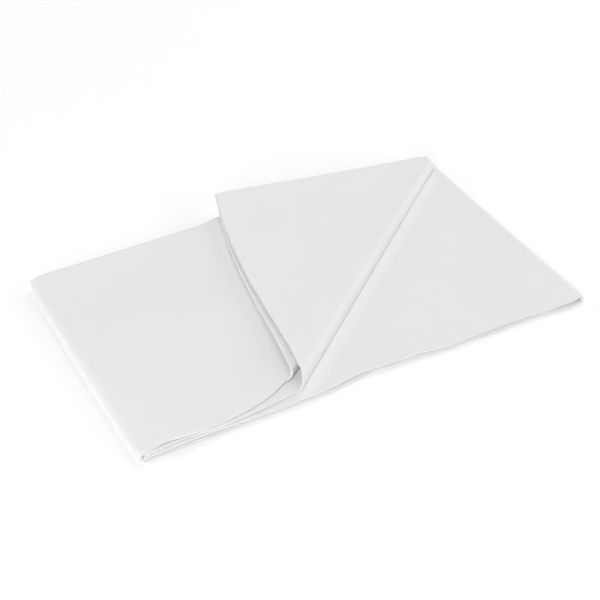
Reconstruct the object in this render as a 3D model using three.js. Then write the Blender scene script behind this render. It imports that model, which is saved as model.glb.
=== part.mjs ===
// A long plain scarf, folded in to the middle from both ends and then doubled,
// with the near right corner of its upper two plies turned back over the packet.
// Millimetres, +X along the packet, +Y away from the open near edges, +Z up.
// The origin is the middle of the footprint, on the surface that the scarf lies on.

import * as THREE from "three";

// Driving dimensions of the packet
const PACKET_DEPTH = 260;
const CLOTH_THICKNESS = 1.8;

// Where the folds at its two ends reach to, at the near and at the far edge
const LEFT_FOLD = { near: -8.5, far: -6 };
const RIGHT_FOLD = { near: 440.5, far: 436 };

// Height of the middle of each ply over the surface, where the packet lies quiet
const PLY_HEIGHT = { bottom: 0.9, lower: 3.9, upper: 6.9, top: 9.7 };

// Where the two cut ends lie, hidden inside the outer fold
const UPPER_END = { near: 0.5, far: 3.5 };
const LOWER_END = { near: -1, far: 1.5 };

// How far the outer fold at the left and the lower fold at the right curve outward
const OUTER_FOLD_REACH = 11;
const LOWER_FOLD_REACH = { near: 3.6, far: 1.4 };
const LOWER_FOLD_LOFT = 1.5;
const LOWER_FOLD_LOFT_LENGTH = 13;

// Folds are rounded off where they run out at the cloth's long edges
const CORNER_ROUNDING = 2;
const CORNER_SPREAD = 0.03;

// The diagonal fold: from the near edge to a little short of the far right corner
const FOLD_NEAR = new THREE.Vector2(128, 0);
const FOLD_FAR = new THREE.Vector2(425, 242.8);
const LOOP_RADIUS = { near: 2.8, far: 1.9 };

// The loops sag under their own weight, and the outer one's foot is pressed down on the ply below
const LOOP_SAG = { upper: 0.5, top: 0.3 };
const FOLD_PRESS = 0.5;

// Where each ply's near edge meets the diagonal fold, and how far its loop stands back there
const LOOP_START = { upper: 13, top: 24 };
const LOOP_SETBACK = { upper: 0, top: 10 };
const LOOP_SETBACK_LENGTH = 45;

// The turned back flap: its rolled edge runs from its tip, past a bend, to its end
const FLAP_TIP = new THREE.Vector3(202.5, 287.5, 17);
const FLAP_BEND = new THREE.Vector3(416, 254.5, 12.6);
const FLAP_END = new THREE.Vector3(428.5, 251, 12.3);
const FLAP_BEND_PLACE = 0.88;
const FLAP_EDGE_SAG = 2;
const FLAP_PLY_PITCH = 2.8;
const FLAP_SIDE_BOW = 7;

// The flap's plies stand up a little along its left side: how far across the cloth that reaches,
// and the shares of the side over which it grows from the diagonal fold and fades to the tip
const SIDE_LIFT = { upper: 2.6, top: 1.1 };
const SIDE_LIFT_SPREAD = 0.06;
const SIDE_LIFT_GROWTH = 0.12;
const SIDE_LIFT_FADE = 0.4;

// Radius of the rolled edge, and how far from it the plies lie its width apart
const ROLL_RADIUS = { tip: 1.9, end: 1.7 };
const ROLL_SPREAD = 20;

// Between the two the flap sinks to a shallow valley: how far the rise on each side reaches
const VALLEY_HEIGHT = 11.9;
const VALLEY_SPREAD = 72;
const RISE_SPREAD = 28;

// The plies lie closer together at the far right corner
const PRESSED_CORNER = { x: 440, y: 255, share: 0.16, spreadX: 110, spreadY: 110 };

// Soft swellings (plus) and hollows (minus) of the lying plies
const SWELLS = [
  { x: 60, y: 60, rise: 0.7, spreadX: 45, spreadY: 50 },
  { x: 90, y: 190, rise: -0.5, spreadX: 55, spreadY: 45 },
  { x: 24, y: 150, rise: 0.5, spreadX: 20, spreadY: 90 },
  { x: 330, y: 70, rise: 0.5, spreadX: 60, spreadY: 40 },
  { x: 400, y: 150, rise: -0.4, spreadX: 40, spreadY: 50 },
];

// How far the near edge of each ply stands back (plus) or out (minus) along the packet
const NEAR_EDGE = {
  bottom: [
    { x: 232, back: 7, spread: 34 },
    { x: 345, back: -2, spread: 30 },
    { x: 424, back: -6, spread: 26 },
  ],
  lower: [
    { x: 50, back: 1.5, spread: 40 },
    { x: 212, back: 6, spread: 36 },
    { x: 262, back: 3, spread: 20 },
    { x: 420, back: -3, spread: 30 },
  ],
  upper: [
    { x: 34, back: 3.5, spread: 24 },
    { x: 110, back: 3, spread: 40 },
  ],
  top: [
    { x: 18, back: 4, spread: 14 },
    { x: 62, back: 2, spread: 40 },
  ],
};

// The far edge of the upper plies stands out beside the flap's tip
const FAR_EDGE = { x: 203, out: 6, spread: 22 };

// The top ply arches clear of the others beside the outer fold's near end
const NEAR_ARCH = { x: 33, rise: 1.6, spreadX: 15, spreadY: 30 };

// Grid: rows across the cloth, closer together beside the near and far edges
const ROWS = 21;

const foldLine = FOLD_FAR.clone().sub(FOLD_NEAR);
const FOLD_LENGTH = foldLine.length();
const along = foldLine.clone().normalize();
const outward = new THREE.Vector2(along.y, -along.x);
const FOLD_LEAD = along.x / along.y;
const rollAway = new THREE.Vector2(FLAP_TIP.x - FOLD_NEAR.x, FLAP_TIP.y - FOLD_NEAR.y).normalize();

function bump(distance, spread) {
  return Math.exp(-((distance / spread) ** 2));
}

function mix(a, b, share) {
  return a + (b - a) * share;
}

function ease(share) {
  const s = Math.min(1, Math.max(0, share));
  return s * s * (3 - 2 * s);
}

// Sets even steps from 0 to 1 closer together towards both ends
function gather(share) {
  return mix(share, ease(share), 0.5);
}

function leftEnd(across) {
  const fold = mix(LEFT_FOLD.near, LEFT_FOLD.far, across);
  return fold + CLOTH_THICKNESS / 2 + OUTER_FOLD_REACH;
}

function cutEnd(end, across) {
  return mix(end.near, end.far, across);
}

function lowerReach(across) {
  return mix(LOWER_FOLD_REACH.near, LOWER_FOLD_REACH.far, across);
}

function rightEnd(across) {
  const fold = mix(RIGHT_FOLD.far, RIGHT_FOLD.near, (1 - across) ** 2);
  return fold - CLOTH_THICKNESS / 2 - lowerReach(across);
}

function rounding(across) {
  const share = bump(across, CORNER_SPREAD) + bump(1 - across, CORNER_SPREAD);
  return CORNER_ROUNDING * share;
}

function pressed(x, y) {
  const c = PRESSED_CORNER;
  return 1 - c.share * bump(x - c.x, c.spreadX) * bump(y - c.y, c.spreadY);
}

function swell(x, y) {
  let rise = 0;
  for (const s of SWELLS) {
    rise += s.rise * bump(x - s.x, s.spreadX) * bump(y - s.y, s.spreadY);
  }
  return rise;
}

function edgeSetback(ply, x) {
  let back = 0;
  for (const b of NEAR_EDGE[ply]) {
    back += b.back * bump(x - b.x, b.spread);
  }
  return back;
}

// A point of the two plies that lie flat from fold to fold: share runs from left to right
function lyingPoint(ply, startX, share, across) {
  const x = mix(startX, rightEnd(across), share);
  const fade = (1 - across) ** 4;
  const y = PACKET_DEPTH * across + edgeSetback(ply, x) * fade;
  let z = PLY_HEIGHT[ply];
  if (ply === "lower") {
    const fromFold = rightEnd(across) - x;
    z += LOWER_FOLD_LOFT * ease(1 - fromFold / LOWER_FOLD_LOFT_LENGTH) * (1 - across);
    z += swell(x, y);
  }
  return new THREE.Vector3(x, y, z);
}

// Where a row of the upper two plies reaches the diagonal fold, measured along the fold
function foldPlace(ply, across) {
  return FOLD_LENGTH * across + LOOP_START[ply] * (1 - across) ** 5;
}

// How far inside the diagonal the ply turns there
function foldInset(ply, place) {
  return LOOP_SETBACK[ply] * bump(place - LOOP_START[ply], LOOP_SETBACK_LENGTH);
}

// A point of the upper two plies between the outer fold and the diagonal fold
function bodyPoint(ply, startX, share, across) {
  const reach = foldPlace(ply, across);
  const inset = foldInset(ply, reach);
  const meetX = FOLD_NEAR.x + along.x * reach - outward.x * inset;
  const meetY = along.y * reach - outward.y * inset;
  const x = mix(startX, meetX, share);
  const near = edgeSetback(ply, x) * (1 - across) ** 6 * (1 - share);
  const far = FAR_EDGE.out * bump(x - FAR_EDGE.x, FAR_EDGE.spread) * across ** 8;
  const y = mix(PACKET_DEPTH * across, meetY, share ** 3.5) + near + far;
  let z = PLY_HEIGHT[ply] + swell(x, y) * (1 - share ** 4);
  if (ply === "upper") {
    z -= FOLD_PRESS * share ** 4;
  } else {
    z += NEAR_ARCH.rise * bump(x - NEAR_ARCH.x, NEAR_ARCH.spreadX) * bump(y, NEAR_ARCH.spreadY);
  }
  return new THREE.Vector3(x, y, z);
}

// The radius of the loop that each ply makes round the diagonal fold
function loopRadius(ply, place) {
  const inner = mix(LOOP_RADIUS.near, LOOP_RADIUS.far, place / FOLD_LENGTH);
  return ply === "top" ? inner : inner + PLY_HEIGHT.top - PLY_HEIGHT.upper;
}

// A point of that loop: turn runs from 0, under the fold, to 1, on top of it
function loopPoint(ply, turn, across) {
  const place = foldPlace(ply, across);
  const radius = loopRadius(ply, place);
  const angle = Math.PI * turn;
  const lead = FOLD_LEAD * Math.PI * radius * (1 - across) * turn;
  const out = radius * Math.sin(angle) - foldInset(ply, place);
  const x = FOLD_NEAR.x + along.x * (place + lead) + outward.x * out;
  const y = along.y * (place + lead) + outward.y * out;
  let z = PLY_HEIGHT[ply] + radius * (1 - Math.cos(angle));
  z -= LOOP_SAG[ply] * radius * Math.sin(angle) ** 2;
  if (ply === "upper") {
    z -= (FOLD_PRESS * (1 + Math.cos(angle))) / 2;
  }
  return new THREE.Vector3(x, y, z);
}

function rollRadius(across) {
  return mix(ROLL_RADIUS.tip, ROLL_RADIUS.end, across);
}

// Where a row of the flap meets its rolled edge, at the height of the flap's lower ply
function rollFoot(across) {
  const foot = new THREE.Vector3();
  if (across < FLAP_BEND_PLACE) {
    const share = across / FLAP_BEND_PLACE;
    foot.lerpVectors(FLAP_TIP, FLAP_BEND, share);
    foot.y -= FLAP_EDGE_SAG * Math.sin(Math.PI * share);
  } else {
    const share = (across - FLAP_BEND_PLACE) / (1 - FLAP_BEND_PLACE);
    foot.lerpVectors(FLAP_BEND, FLAP_END, share);
  }
  const tip = CORNER_ROUNDING * bump(across, CORNER_SPREAD);
  foot.x -= rollAway.x * tip;
  foot.y -= rollAway.y * tip;
  return foot;
}

// A point of the flap: share runs from the diagonal fold to the rolled edge
function flapPoint(ply, share, across) {
  const start = loopPoint(ply, 1, across);
  const end = rollFoot(across);
  const length = Math.hypot(end.x - start.x, end.y - start.y);
  const fromRoll = length * (1 - share);
  const fromFold = length * share;
  const point = new THREE.Vector3().lerpVectors(start, end, share);
  const bow = FLAP_SIDE_BOW * Math.sin(Math.PI * share ** 1.4) * (1 - across) ** 4;
  point.x -= (bow * (end.y - start.y)) / length;
  point.y += (bow * (end.x - start.x)) / length;
  const settled = ease(share);
  const foldRise = loopPoint("top", 1, across).z - VALLEY_HEIGHT;
  const rollRise = end.z - VALLEY_HEIGHT;
  let z = VALLEY_HEIGHT + foldRise * bump(fromFold, VALLEY_SPREAD) * (1 - settled);
  z += rollRise * bump(fromRoll, RISE_SPREAD) * settled;
  if (ply === "upper") {
    z += mix(FLAP_PLY_PITCH, 2 * rollRadius(across), bump(fromRoll, ROLL_SPREAD) * settled);
  }
  const alongSide = ease(share / SIDE_LIFT_GROWTH) * ease((1 - share) / SIDE_LIFT_FADE);
  point.z = z + SIDE_LIFT[ply] * bump(across, SIDE_LIFT_SPREAD) * alongSide;
  return point;
}

// The rolled edge that joins the flap's plies: turn runs from the upper one to the lower one
function rollPoint(turn, across) {
  const foot = rollFoot(across);
  const radius = rollRadius(across);
  const angle = Math.PI * turn;
  const out = radius * Math.sin(angle);
  const z = foot.z + radius * (1 + Math.cos(angle));
  return new THREE.Vector3(foot.x + rollAway.x * out, foot.y + rollAway.y * out, z);
}

// Half an upright oval from one ply to another: side is -1 at the left and 1 at the right
function foldPoint(from, to, reach, side, turn) {
  const angle = Math.PI * turn;
  const middle = (from.z + to.z) / 2;
  const half = (from.z - to.z) / 2;
  const x = mix(from.x, to.x, turn) + side * reach * Math.sin(angle);
  return new THREE.Vector3(x, mix(from.y, to.y, turn), middle + half * Math.cos(angle));
}

function outerFold(turn, across) {
  const from = bodyPoint("top", leftEnd(across), 0, across);
  const to = lyingPoint("bottom", leftEnd(across), 0, across);
  return foldPoint(from, to, OUTER_FOLD_REACH - rounding(across), -1, turn);
}

function lowerFold(turn, across) {
  const from = lyingPoint("bottom", leftEnd(across), 1, across);
  const to = lyingPoint("lower", cutEnd(LOWER_END, across), 1, across);
  const cut = rounding(across) * (1 - across);
  return foldPoint(from, to, lowerReach(across) - cut, 1, turn);
}

// The cloth's path from its hidden upper end to its hidden lower end
const PATH = [
  { name: "upper ply", steps: 8, at: (t, a) => bodyPoint("upper", cutEnd(UPPER_END, a), t, a) },
  { name: "loop of the upper ply", steps: 8, at: (t, a) => loopPoint("upper", t, a) },
  { name: "flap, upper ply", steps: 12, at: (t, a) => flapPoint("upper", gather(t), a) },
  { name: "rolled edge", steps: 6, at: (t, a) => rollPoint(t, a) },
  { name: "flap, lower ply", steps: 12, at: (t, a) => flapPoint("top", gather(1 - t), a) },
  { name: "loop of the top ply", steps: 6, at: (t, a) => loopPoint("top", 1 - t, a) },
  { name: "top ply", steps: 13, at: (t, a) => bodyPoint("top", leftEnd(a), 1 - t, a) },
  { name: "outer fold", steps: 10, at: outerFold },
  { name: "bottom ply", steps: 18, at: (t, a) => lyingPoint("bottom", leftEnd(a), t, a) },
  { name: "lower fold", steps: 7, at: lowerFold },
  {
    name: "lower ply",
    steps: 18,
    at: (t, a) => lyingPoint("lower", cutEnd(LOWER_END, a), 1 - t ** 1.5, a),
  },
];

// Stations along the path, each a row of points across the cloth
function clothGrid() {
  const stations = [];
  for (const section of PATH) {
    const first = stations.length === 0 ? 0 : 1;
    for (let i = first; i <= section.steps; i += 1) {
      const row = [];
      for (let j = 0; j < ROWS; j += 1) {
        const point = section.at(i / section.steps, gather(j / (ROWS - 1)));
        point.z = PLY_HEIGHT.bottom + (point.z - PLY_HEIGHT.bottom) * pressed(point.x, point.y);
        row.push(point);
      }
      stations.push(row);
    }
  }
  return stations;
}

function gridNormal(grid, i, j) {
  const before = grid[Math.max(i - 1, 0)][j];
  const after = grid[Math.min(i + 1, grid.length - 1)][j];
  const near = grid[i][Math.max(j - 1, 0)];
  const far = grid[i][Math.min(j + 1, ROWS - 1)];
  const u = new THREE.Vector3().subVectors(after, before);
  const v = new THREE.Vector3().subVectors(far, near);
  return u.cross(v).normalize();
}

// Closes the cloth: one face on each side of the grid and a narrow face along its four edges
function clothGeometry(grid) {
  const positions = [];
  const indices = [];
  const half = CLOTH_THICKNESS / 2;
  const count = grid.length * ROWS;
  for (const side of [1, -1]) {
    for (let i = 0; i < grid.length; i += 1) {
      for (let j = 0; j < ROWS; j += 1) {
        const point = gridNormal(grid, i, j).multiplyScalar(side * half).add(grid[i][j]);
        positions.push(point.x, point.y, point.z);
      }
    }
  }
  const front = (i, j) => i * ROWS + j;
  const back = (i, j) => count + i * ROWS + j;
  const quad = (a, b, c, d) => indices.push(a, b, c, a, c, d);
  for (let i = 0; i < grid.length - 1; i += 1) {
    for (let j = 0; j < ROWS - 1; j += 1) {
      quad(front(i, j), front(i + 1, j), front(i + 1, j + 1), front(i, j + 1));
      quad(back(i, j), back(i, j + 1), back(i + 1, j + 1), back(i + 1, j));
    }
    quad(front(i, 0), back(i, 0), back(i + 1, 0), front(i + 1, 0));
    const last = ROWS - 1;
    quad(front(i, last), front(i + 1, last), back(i + 1, last), back(i, last));
  }
  const end = grid.length - 1;
  for (let j = 0; j < ROWS - 1; j += 1) {
    quad(front(0, j), front(0, j + 1), back(0, j + 1), back(0, j));
    quad(front(end, j), back(end, j), back(end, j + 1), front(end, j + 1));
  }
  const geometry = new THREE.BufferGeometry();
  geometry.setAttribute("position", new THREE.Float32BufferAttribute(positions, 3));
  geometry.setIndex(indices);
  geometry.computeBoundingBox();
  return geometry;
}

// The cloth stands on the surface with the middle of its footprint at the origin
function buildScarf() {
  const geometry = clothGeometry(clothGrid());
  const box = geometry.boundingBox;
  const middle = box.getCenter(new THREE.Vector3());
  geometry.translate(-middle.x, -middle.y, -box.min.z);
  const cloth = new THREE.MeshStandardMaterial({ color: 0xf4f4f3, roughness: 0.95, metalness: 0 });
  const mesh = new THREE.Mesh(geometry, cloth);
  mesh.name = "scarf";
  return mesh;
}

const foldedScarf = new THREE.Group();
foldedScarf.add(buildScarf());

export default foldedScarf;
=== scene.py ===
"""The folded scarf's looks: a fine cloth mesh on the solid's own folds, its weave, a floor, lights
and a camera. Lengths in the tables are millimetres in the packet's own frame: x along the packet,
y away from the open near edges, z up from the surface. Blender's own are metres."""

import math

import bpy
import numpy as np
from mathutils import Matrix, Vector


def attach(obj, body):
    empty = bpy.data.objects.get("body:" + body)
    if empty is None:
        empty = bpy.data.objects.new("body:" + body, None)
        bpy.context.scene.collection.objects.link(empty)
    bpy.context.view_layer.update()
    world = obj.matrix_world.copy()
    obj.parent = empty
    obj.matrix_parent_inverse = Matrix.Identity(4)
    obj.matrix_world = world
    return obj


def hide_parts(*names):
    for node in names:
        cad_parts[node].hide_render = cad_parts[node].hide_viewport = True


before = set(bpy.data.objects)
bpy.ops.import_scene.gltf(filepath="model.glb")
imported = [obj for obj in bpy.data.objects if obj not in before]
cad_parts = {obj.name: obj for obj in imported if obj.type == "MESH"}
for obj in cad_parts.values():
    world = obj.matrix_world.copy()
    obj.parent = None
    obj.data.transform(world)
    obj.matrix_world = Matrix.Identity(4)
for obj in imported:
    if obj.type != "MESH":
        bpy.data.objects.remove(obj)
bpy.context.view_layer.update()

MM = 0.001
# The solid's origin, in the packet's own frame
ORIGIN = (215.7331, 141.7231)

# Driving sizes of the folded packet; a pair goes from its near edge to its far edge
DEPTH = 260.0
THICK = 1.8
LEFT_FOLD = (-8.5, -6.0)
RIGHT_FOLD = (440.5, 436.0)
RIGHT_FOLD_POWER = 2
PLY_Z = {"bottom": 0.9, "lower": 3.9, "upper": 6.9, "top": 9.7}
UPPER_END_X = (0.5, 3.5)
LOWER_END_X = (-1.0, 1.5)
END_CORNER_REACH = 2.6
END_CORNER_SPREAD = 0.05
OUTER_REACH = 11.0
LOWER_REACH = (3.6, 1.4)
LOWER_LOFT = 1.5
LOFT_LENGTH = 13.0
# Rounding of the folds' corners
ROUNDING = 2.0
ROUNDING_SPREAD = 0.03

# The diagonal fold: its two ends, its two loops and where they start along it
FOLD_NEAR = np.array([128.0, 0.0])
FOLD_FAR = np.array([425.0, 242.8])
LOOP_RADIUS = (2.8, 1.9)
LOOP_SAG = {"upper": 0.5, "top": 0.3}
FOLD_PRESS = 0.5
LOOP_START = {"upper": 13.0, "top": 24.0}
LOOP_START_POWER = 5
LOOP_SETBACK = {"upper": 0.0, "top": 10.0}
SETBACK_LENGTH = 45.0
# The ply under the outer loop puffs up to it: rise, spread, and the length over which that fades
PUFF_RISE = 2.3
PUFF_SPREAD = 4.5
PUFF_FADE = 26.0

# The turned back flap: foot of its rolled edge, its free side, and the valley from roll to fold
FLAP_TIP = np.array([202.5, 287.5, 17.0])
FLAP_BEND = np.array([416.0, 254.5, 12.6])
FLAP_END = np.array([428.5, 251.0, 12.3])
BEND_PLACE = 0.88
EDGE_SAG = 2.0
FLAP_PITCH = 2.8
SIDE_BOW = 7.0
SIDE_BOW_SKEW = 1.4
SIDE_BOW_POWER = 4
SIDE_LIFT = {"upper": 2.6, "top": 1.1}
SIDE_LIFT_SPREAD = 0.06
SIDE_LIFT_GROWTH = 0.12
SIDE_LIFT_FADE = 0.4
ROLL_RADIUS = (1.9, 1.7)
ROLL_SPREAD = 20.0
VALLEY_Z = 11.9
VALLEY_SPREAD = 72.0
RISE_SPREAD = 28.0

# Where the whole packet is pressed flatter: x, y, share, spread x, spread y
PRESSED = (440.0, 255.0, 0.16, 110.0, 110.0)

# Soft swellings and hollows: x, y, rise, spread x, spread y
SWELLS = (
    (60, 60, 0.7, 45, 50),
    (90, 190, -0.5, 55, 45),
    (24, 150, 0.5, 20, 90),
    (330, 70, 0.5, 60, 40),
    (400, 150, -0.4, 40, 50),
)

# Powers of a share: how soon the shapes of the edges fade across a ply, and how late along it
# the rows turn and flatten to meet the diagonal fold
LYING_EDGE_POWER = 4
BODY_EDGE_POWER = 6
FAR_EDGE_POWER = 8
BODY_TURN_POWER = 3.5
BODY_FLAT_POWER = 4

# Each ply's near edge: x, how far it stands back, spread
NEAR_EDGE = {
    "bottom": ((232, 7, 34), (345, -2, 30), (424, -6, 26)),
    "lower": ((50, 1.5, 40), (212, 6, 36), (262, 3, 20), (420, -3, 30)),
    "upper": ((34, 3.5, 24), (110, 3, 40)),
    "top": ((18, 4, 14), (62, 2, 40)),
}
# The upper plies' far edge swells out at the flap's tip: x, out, spread
FAR_EDGE = (203.0, 6.0, 22.0)
# The top ply arches up at its near edge: x, rise, spread x, spread y
NEAR_ARCH = (33.0, 1.6, 15.0, 30.0)

# Steps of the mesh: points across, how far they gather at both ends, power for the lower ply
ROWS = 91
GATHER = 0.5
LOWER_STEP_POWER = 1.5

# How much the cloth's half thickness grows on flat plies, smoothed over a few stations, and
# along its long edges
FLAT_FULLNESS = 0.32
FULLNESS_WINDOW = 4
FULLNESS_SPREAD = 2.5
EDGE_FULLNESS = 0.1
EDGE_FULL_SPREAD = 5.0
# The bottom ply's underside curves up beside its near edge, where the ply lies on the surface:
# its middle is there no more than LIES_WITHIN above its usual height
EDGE_LIFT = 1.5
EDGE_LIFT_SPREAD = 3.5
LIES_WITHIN = 0.3

# Surfaces: inputs of the shader nodes by name
CLOTH_SURFACE = {
    "Roughness": 0.92,
    "Specular IOR Level": 0.15,
    "Sheen Weight": 0.12,
    "Sheen Roughness": 0.6,
}
YARNS = {"Scale": 260.0, "Distortion": 0.6}
NAP = {"Scale": 900.0, "Detail": 3.0}
NAP_SHARE = 0.5
RELIEF = {"Strength": 0.25, "Distance": 0.0002}
CLOUD = {"Scale": 14.0, "Detail": 4.0}
# Place on the ramp, colour
TONES = ((0.3, (0.752, 0.752, 0.752, 1)), (0.7, (0.772, 0.772, 0.77, 1)))
FLOOR_SURFACE = {"Base Color": (0.98, 0.98, 0.98, 1), "Roughness": 0.9, "Specular IOR Level": 0.1}

# Floor, lights and camera. Angles are degrees: azimuth 0 is the near side and 90 the right
FLOOR_HALF = 3.0
FLOOR_DROP = 0.0002
DOME_SURFACE = {"Color": (1, 1, 1, 1), "Strength": 0.22}
LIGHT_DISTANCE = 3.0
LIGHT_SIZE = 1.6
# A ring of soft lights, brightest at the near left: azimuth, elevation, power
RING = (
    (315, 45, 46),
    (315, 15, 22),
    (45, 15, 18),
    (90, 15, 22),
    (135, 45, 26),
    (135, 15, 12),
    (225, 15, 20),
    (225, 45, 4),
)
# The camera at the photo's place
CAMERA_PLACE = (-296.81, -805.73, 868.14)
CAMERA_AZIMUTH = -28.557
CAMERA_ELEVATION = 39.362
CAMERA_LENS = 88.43
CAMERA_SENSOR = 36.0

# Directions: along the diagonal fold, out from it, and from its near end to the flap's tip
along = (FOLD_FAR - FOLD_NEAR) / np.linalg.norm(FOLD_FAR - FOLD_NEAR)
outward = np.array([along[1], -along[0]])
FOLD_LENGTH = float(np.linalg.norm(FOLD_FAR - FOLD_NEAR))
FOLD_LEAD = along[0] / along[1]
roll_away = (FLAP_TIP[:2] - FOLD_NEAR) / np.linalg.norm(FLAP_TIP[:2] - FOLD_NEAR)


def bump(distance, spread):
    return np.exp(-((distance / spread) ** 2))


def mix(a, b, share):
    return a + (b - a) * share


def ease(share):
    s = np.clip(share, 0, 1)
    return s * s * (3 - 2 * s)


def gather(share):
    """Even steps from 0 to 1, set closer together towards both ends."""
    return mix(share, ease(share), GATHER)


def left_end(v):
    return mix(LEFT_FOLD[0], LEFT_FOLD[1], v) + THICK / 2 + OUTER_REACH


def hidden_end(end_x, v):
    """A cut end inside the outer fold; its near corner has slipped a little further in."""
    return mix(end_x[0], end_x[1], v) - END_CORNER_REACH * bump(v, END_CORNER_SPREAD)


def lower_reach(v):
    return mix(LOWER_REACH[0], LOWER_REACH[1], v)


def right_end(v):
    fold = mix(RIGHT_FOLD[1], RIGHT_FOLD[0], (1 - v) ** RIGHT_FOLD_POWER)
    return fold - THICK / 2 - lower_reach(v)


def rounding(v):
    return ROUNDING * (bump(v, ROUNDING_SPREAD) + bump(1 - v, ROUNDING_SPREAD))


def pressed(x, y):
    cx, cy, share, sx, sy = PRESSED
    return 1 - share * bump(x - cx, sx) * bump(y - cy, sy)


def swell(x, y):
    return sum(rise * bump(x - cx, sx) * bump(y - cy, sy) for cx, cy, rise, sx, sy in SWELLS)


def edge_setback(ply, x):
    return sum(back * bump(x - cx, spread) for cx, back, spread in NEAR_EDGE[ply])


def puff(x, y):
    """Rise of the lower ply beside the diagonal fold's outer loop."""
    place = (x - FOLD_NEAR[0]) * along[0] + (y - FOLD_NEAR[1]) * along[1]
    out = (x - FOLD_NEAR[0]) * outward[0] + (y - FOLD_NEAR[1]) * outward[1]
    beside = bump(out - loop_radius("upper", place) - THICK, PUFF_SPREAD)
    return PUFF_RISE * beside * ease(place / PUFF_FADE) * ease((FOLD_LENGTH - place) / PUFF_FADE)


# Sections of the cloth's middle: t or turn goes along one from 0 to 1, v from near to far edge


def lying(ply, start_x, t, v):
    """A ply that lies flat, from start_x to the right fold."""
    x = mix(start_x, right_end(v), t)
    y = DEPTH * v + edge_setback(ply, x) * (1 - v) ** LYING_EDGE_POWER
    z = np.full_like(x, PLY_Z[ply])
    if ply == "lower":
        z = z + LOWER_LOFT * ease(1 - (right_end(v) - x) / LOFT_LENGTH) * (1 - v)
        z = z + swell(x, y) + puff(x, y)
    return np.stack([x, y, z], -1)


def fold_place(ply, v):
    return FOLD_LENGTH * v + LOOP_START[ply] * (1 - v) ** LOOP_START_POWER


def fold_inset(ply, place):
    return LOOP_SETBACK[ply] * bump(place - LOOP_START[ply], SETBACK_LENGTH)


def body(ply, start_x, t, v):
    """A ply that meets the diagonal fold, from start_x."""
    reach = fold_place(ply, v)
    inset = fold_inset(ply, reach)
    meet_x = FOLD_NEAR[0] + along[0] * reach - outward[0] * inset
    meet_y = along[1] * reach - outward[1] * inset
    x = mix(start_x, meet_x, t)
    near = edge_setback(ply, x) * (1 - v) ** BODY_EDGE_POWER * (1 - t)
    far = FAR_EDGE[1] * bump(x - FAR_EDGE[0], FAR_EDGE[2]) * v**FAR_EDGE_POWER
    y = mix(DEPTH * v, meet_y, t**BODY_TURN_POWER) + near + far
    at_fold = t**BODY_FLAT_POWER
    z = PLY_Z[ply] + swell(x, y) * (1 - at_fold)
    if ply == "upper":
        z = z - FOLD_PRESS * at_fold
    if ply == "top":
        z = z + NEAR_ARCH[1] * bump(x - NEAR_ARCH[0], NEAR_ARCH[2]) * bump(y, NEAR_ARCH[3])
    return np.stack([x, y, z], -1)


def loop_radius(ply, place):
    inner = mix(LOOP_RADIUS[0], LOOP_RADIUS[1], place / FOLD_LENGTH)
    return inner if ply == "top" else inner + PLY_Z["top"] - PLY_Z["upper"]


def loop(ply, turn, v):
    """A ply's loop round the diagonal fold, from the packet's side to the flap's."""
    place = fold_place(ply, v)
    radius = loop_radius(ply, place)
    angle = math.pi * turn
    lead = FOLD_LEAD * math.pi * radius * (1 - v) * turn
    out = radius * np.sin(angle) - fold_inset(ply, place)
    x = FOLD_NEAR[0] + along[0] * (place + lead) + outward[0] * out
    y = along[1] * (place + lead) + outward[1] * out
    z = PLY_Z[ply] + radius * (1 - np.cos(angle))
    z = z - LOOP_SAG[ply] * radius * np.sin(angle) ** 2
    if ply == "upper":
        z = z - FOLD_PRESS * (1 + np.cos(angle)) / 2
    return np.stack([x, y, z], -1)


def roll_radius(v):
    return mix(ROLL_RADIUS[0], ROLL_RADIUS[1], v)


def roll_foot(v):
    near = np.clip(v / BEND_PLACE, 0, 1)[..., None]
    far = np.clip((v - BEND_PLACE) / (1 - BEND_PLACE), 0, 1)[..., None]
    to_bend = mix(FLAP_TIP, FLAP_BEND, near)
    past_bend = mix(FLAP_BEND, FLAP_END, far)
    foot = np.where(v[..., None] < BEND_PLACE, to_bend, past_bend)
    foot[..., 1] -= EDGE_SAG * np.sin(math.pi * near[..., 0])
    tip = ROUNDING * bump(v, ROUNDING_SPREAD)
    foot[..., 0] -= roll_away[0] * tip
    foot[..., 1] -= roll_away[1] * tip
    return foot


def flap(ply, t, v):
    """A ply of the turned back flap, from the diagonal fold to the rolled edge."""
    start = loop(ply, 1.0, v)
    end = roll_foot(v)
    length = np.hypot(end[..., 0] - start[..., 0], end[..., 1] - start[..., 1])
    from_roll = length * (1 - t)
    from_fold = length * t
    p = start + (end - start) * t
    bow = SIDE_BOW * np.sin(math.pi * t**SIDE_BOW_SKEW) * (1 - v) ** SIDE_BOW_POWER
    p[..., 0] -= bow * (end[..., 1] - start[..., 1]) / length
    p[..., 1] += bow * (end[..., 0] - start[..., 0]) / length
    fold_z = loop("top", 1.0, v)[..., 2]
    settle = ease(t)
    z = VALLEY_Z + (fold_z - VALLEY_Z) * bump(from_fold, VALLEY_SPREAD) * (1 - settle)
    z = z + (end[..., 2] - VALLEY_Z) * bump(from_roll, RISE_SPREAD) * settle
    if ply == "upper":
        z = z + mix(FLAP_PITCH, 2 * roll_radius(v), bump(from_roll, ROLL_SPREAD) * settle)
    along_side = ease(t / SIDE_LIFT_GROWTH) * ease((1 - t) / SIDE_LIFT_FADE)
    p[..., 2] = z + SIDE_LIFT[ply] * bump(v, SIDE_LIFT_SPREAD) * along_side
    return p


def roll(turn, v):
    """The rolled edge that joins the flap's two plies."""
    foot = roll_foot(v)
    radius = roll_radius(v)
    angle = math.pi * turn
    out = radius * np.sin(angle)
    foot[..., 0] += roll_away[0] * out
    foot[..., 1] += roll_away[1] * out
    foot[..., 2] += radius * (1 + np.cos(angle))
    return foot


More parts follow.
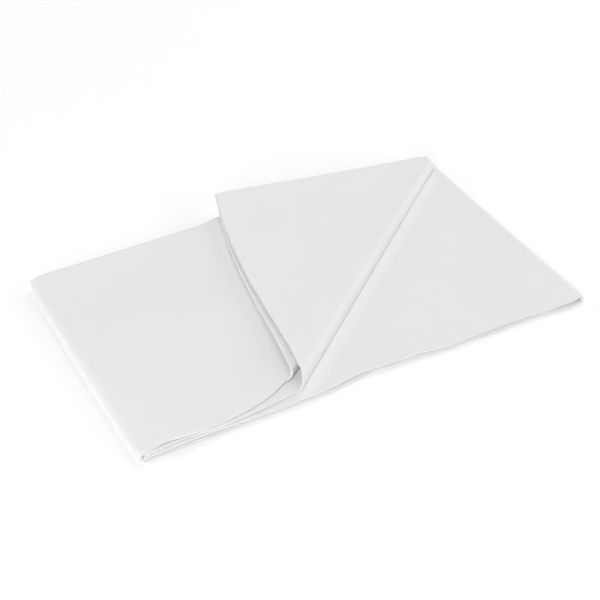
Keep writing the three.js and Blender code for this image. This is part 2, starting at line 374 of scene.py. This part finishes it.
def half_oval(start, end, reach, side, turn):
    """A fold from start round to end, bulging by reach to the left (side -1) or right (1)."""
    angle = math.pi * turn
    middle = (start[..., 2] + end[..., 2]) / 2
    half = (start[..., 2] - end[..., 2]) / 2
    x = mix(start[..., 0], end[..., 0], turn) + side * reach * np.sin(angle)
    y = mix(start[..., 1], end[..., 1], turn)
    return np.stack([x, y, middle + half * np.cos(angle)], -1)


def outer_fold(turn, v):
    start = body("top", left_end(v), 0.0, v)
    end = lying("bottom", left_end(v), 0.0, v)
    return half_oval(start, end, OUTER_REACH - rounding(v), -1, turn)


def lower_fold(turn, v):
    start = lying("bottom", left_end(v), 1.0, v)
    end = lying("lower", hidden_end(LOWER_END_X, v), 1.0, v)
    return half_oval(start, end, lower_reach(v) - rounding(v) * (1 - v), 1, turn)


# Sections of the cloth's path: steps along each, and how full the cloth lies there
PATH = (
    (24, 1, lambda t, v: body("upper", hidden_end(UPPER_END_X, v), t, v)),
    (20, 0.5, lambda t, v: loop("upper", t, v)),
    (70, 1, lambda t, v: flap("upper", gather(t), v)),
    (14, 0, lambda t, v: roll(t, v)),
    (40, 1, lambda t, v: flap("top", gather(1 - t), v)),
    (10, 0, lambda t, v: loop("top", 1 - t, v)),
    (80, 1, lambda t, v: body("top", left_end(v), 1 - t, v)),
    (20, 0, outer_fold),
    (30, 1, lambda t, v: lying("bottom", left_end(v), t, v)),
    (12, 0, lower_fold),
    (210, 1, lambda t, v: lying("lower", hidden_end(LOWER_END_X, v), 1 - t**LOWER_STEP_POWER, v)),
)


def cloth_grid():
    """Middle of the cloth, station by station along its path, ROWS points across it, and how full
    the cloth lies at each station, from 0 to 1."""
    v = gather(np.linspace(0, 1, ROWS))
    rows = []
    full = []
    for steps, fullness, at in PATH:
        for i in range(1 if rows else 0, steps + 1):
            rows.append(at(i / steps, v))
            full.append(fullness)
    grid = np.array(rows)
    window = bump(np.arange(-FULLNESS_WINDOW, FULLNESS_WINDOW + 1), FULLNESS_SPREAD)
    full = np.convolve(np.pad(full, FULLNESS_WINDOW, mode="edge"), window, "valid")
    full = full / full.max()
    low = PLY_Z["bottom"]
    grid[..., 2] = low + (grid[..., 2] - low) * pressed(grid[..., 0], grid[..., 1])
    return grid, full


def grid_normals(grid):
    n = np.cross(np.gradient(grid, axis=0), np.gradient(grid, axis=1))
    return n / np.linalg.norm(n, axis=-1, keepdims=True)


def edge_fullness(grid):
    """How much the cloth's half thickness grows along its two long edges."""
    side = np.linalg.norm(np.diff(grid, axis=1), axis=-1)
    from_edge = np.concatenate([np.zeros((len(grid), 1)), np.cumsum(side, axis=1)], axis=1)
    width = from_edge[:, -1:]
    near = np.minimum(from_edge, width - from_edge)
    return (EDGE_FULLNESS * bump(near, EDGE_FULL_SPREAD))[..., None]


def edge_lift(grid):
    """How far the bottom ply's underside curves up off the surface beside its near edge."""
    lies = grid[..., 2] < PLY_Z["bottom"] + LIES_WITHIN
    from_edge = grid[..., 1] - grid[:, :1, 1]
    return np.where(lies, EDGE_LIFT * bump(from_edge, EDGE_LIFT_SPREAD), 0.0)


def add_object(name, data):
    obj = bpy.data.objects.new(name, data)
    bpy.context.scene.collection.objects.link(obj)
    return obj


def cloth_mesh(name, grid, full):
    """Closed cloth, both faces of the grid and a narrow face along its four edges, as an object,
    with the cloth's length."""
    n = grid_normals(grid)
    count, rows = grid.shape[:2]
    half = THICK / 2 + FLAT_FULLNESS * full[:, None, None] + edge_fullness(grid)
    front = grid + n * half
    back = grid - n * half
    back[..., 2] += edge_lift(grid)
    verts = np.concatenate([front.reshape(-1, 3), back.reshape(-1, 3)])
    verts = (verts - np.array([ORIGIN[0], ORIGIN[1], 0.0])) * MM
    verts[:, 2] = np.maximum(verts[:, 2], 0.0)
    idx = np.arange(count * rows).reshape(count, rows)
    other = idx + count * rows

    def quads(a, b, c, d):
        return np.stack([a.ravel(), b.ravel(), c.ravel(), d.ravel()], -1)

    faces = [
        quads(idx[:-1, :-1], idx[1:, :-1], idx[1:, 1:], idx[:-1, 1:]),
        quads(other[:-1, :-1], other[:-1, 1:], other[1:, 1:], other[1:, :-1]),
        quads(idx[:-1, 0], other[:-1, 0], other[1:, 0], idx[1:, 0]),
        quads(idx[:-1, -1], idx[1:, -1], other[1:, -1], other[:-1, -1]),
        quads(idx[0, :-1], idx[0, 1:], other[0, 1:], other[0, :-1]),
        quads(idx[-1, :-1], other[-1, :-1], other[-1, 1:], idx[-1, 1:]),
    ]
    mesh = bpy.data.meshes.new(name)
    mesh.from_pydata(verts.tolist(), [], np.concatenate(faces).tolist())
    mesh.validate()
    for poly in mesh.polygons:
        poly.use_smooth = True
    # Cloth coordinates for the weave: metres along the scarf and across it
    step = np.linalg.norm(np.diff(grid, axis=0), axis=-1).mean(axis=1)
    run = np.concatenate([[0.0], np.cumsum(step)]) * MM
    over = gather(np.linspace(0, 1, rows)) * DEPTH * MM
    cloth = np.zeros((2 * count * rows, 3))
    cloth[:, 0] = np.tile(np.repeat(run, rows), 2)
    cloth[:, 1] = np.tile(np.tile(over, count), 2)
    layer = mesh.attributes.new("cloth", "FLOAT_VECTOR", "POINT")
    layer.data.foreach_set("vector", cloth.ravel())
    return add_object(name, mesh), float(run[-1])


def set_inputs(node, values):
    for name, value in values.items():
        node.inputs[name].default_value = value
    return node


def cloth_material():
    mat = bpy.data.materials.new("white_cloth")
    mat.use_nodes = True
    nodes, link = mat.node_tree.nodes, mat.node_tree.links.new
    bsdf = set_inputs(nodes["Principled BSDF"], CLOTH_SURFACE)
    place = nodes.new("ShaderNodeAttribute")
    place.attribute_name = "cloth"
    # Warp and weft: two crossed fine waves
    weave = nodes.new("ShaderNodeMath")
    weave.operation = "MULTIPLY"
    for number, direction in enumerate("XY"):
        yarns = set_inputs(nodes.new("ShaderNodeTexWave"), YARNS)
        yarns.wave_type = "BANDS"
        yarns.bands_direction = direction
        link(place.outputs["Vector"], yarns.inputs["Vector"])
        link(yarns.outputs["Fac"], weave.inputs[number])
    # Nap: a soft, irregular surface, added to the weave
    nap = set_inputs(nodes.new("ShaderNodeTexNoise"), NAP)
    link(place.outputs["Vector"], nap.inputs["Vector"])
    height = nodes.new("ShaderNodeMath")
    height.operation = "MULTIPLY_ADD"
    link(nap.outputs["Fac"], height.inputs[0])
    height.inputs[1].default_value = NAP_SHARE
    link(weave.outputs["Value"], height.inputs[2])
    relief = set_inputs(nodes.new("ShaderNodeBump"), RELIEF)
    link(height.outputs["Value"], relief.inputs["Height"])
    link(relief.outputs["Normal"], bsdf.inputs["Normal"])
    # Colour: white with the faintest cloudiness
    cloud = set_inputs(nodes.new("ShaderNodeTexNoise"), CLOUD)
    link(place.outputs["Vector"], cloud.inputs["Vector"])
    tone = nodes.new("ShaderNodeValToRGB")
    for element, (position, color) in zip(tone.color_ramp.elements, TONES):
        element.position = position
        element.color = color
    link(cloud.outputs["Fac"], tone.inputs["Fac"])
    link(tone.outputs["Color"], bsdf.inputs["Base Color"])
    return mat


grid, full = cloth_grid()
scarf, scarf_length = cloth_mesh("scarf_cloth", grid, full)
scarf.data.materials.append(cloth_material())
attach(scarf, "root")
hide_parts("scarf")

# Floor
floor_mesh = bpy.data.meshes.new("floor")
sides = ((-1, -1), (1, -1), (1, 1), (-1, 1))
corners = [(x * FLOOR_HALF, y * FLOOR_HALF, 0) for x, y in sides]
floor_mesh.from_pydata(corners, [], [(0, 1, 2, 3)])
floor = add_object("floor", floor_mesh)
floor.location.z = -FLOOR_DROP
floor_mat = bpy.data.materials.new("pale_floor")
floor_mat.use_nodes = True
set_inputs(floor_mat.node_tree.nodes["Principled BSDF"], FLOOR_SURFACE)
floor_mesh.materials.append(floor_mat)

# Light: a white dome and the ring of soft lights
world = bpy.data.worlds.new("dome")
bpy.context.scene.world = world
world.use_nodes = True
set_inputs(world.node_tree.nodes["Background"], DOME_SURFACE)


def toward(azimuth, elevation):
    """Unit vector at these angles."""
    a, e = math.radians(azimuth), math.radians(elevation)
    return Vector((math.sin(a) * math.cos(e), -math.cos(a) * math.cos(e), math.sin(e)))


def stand(obj, place, back):
    """Put a light or camera at a place, with its back to the vector back."""
    obj.matrix_world = Matrix.LocRotScale(place, back.to_track_quat("Z", "Y"), None)


def soft_light(name, azimuth, elevation, power):
    data = bpy.data.lights.new(name, "AREA")
    data.shape = "DISK"
    data.size = LIGHT_SIZE
    data.energy = power
    place = toward(azimuth, elevation) * LIGHT_DISTANCE
    stand(add_object(name, data), place, place)


for number, (azimuth, elevation, power) in enumerate(RING):
    soft_light(f"soft_light_{number}", azimuth, elevation, power)

# Camera
cam_data = bpy.data.cameras.new("camera")
cam_data.lens = CAMERA_LENS
cam_data.sensor_width = CAMERA_SENSOR
cam = add_object("camera", cam_data)
camera_x = (CAMERA_PLACE[0] - ORIGIN[0]) * MM
camera_y = (CAMERA_PLACE[1] - ORIGIN[1]) * MM
spot = Vector((camera_x, camera_y, CAMERA_PLACE[2] * MM))
stand(cam, spot, toward(CAMERA_AZIMUTH, CAMERA_ELEVATION))
bpy.context.scene.camera = cam

bpy.context.scene.view_settings.view_transform = "Standard"
